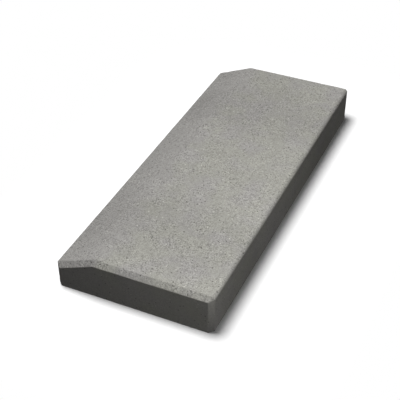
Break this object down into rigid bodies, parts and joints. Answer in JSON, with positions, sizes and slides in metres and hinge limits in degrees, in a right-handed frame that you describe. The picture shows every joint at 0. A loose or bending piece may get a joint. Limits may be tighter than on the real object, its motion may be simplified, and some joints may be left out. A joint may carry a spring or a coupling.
{
  "type": "concrete kerb stone",
  "caption": "Straight precast concrete kerb stone with a bevelled front, chamfered ends and a rounded foot arris, lying on its back; it edges a path or a bed.",
  "frame": {"origin": "middle of the back face, which lies on the floor", "axes": "+X from the head to the foot of the kerb, +Y along its run, +Z from the back up to the face"},
  "size_m": [0.205, 0.5, 0.053],
  "materials": {
    "concrete": "cast grey concrete, matt and fine-grained, with small pores"
  },
  "bodies": {
    "root": {"kerb_stone": "concrete"}
  },
  "joints": []
}
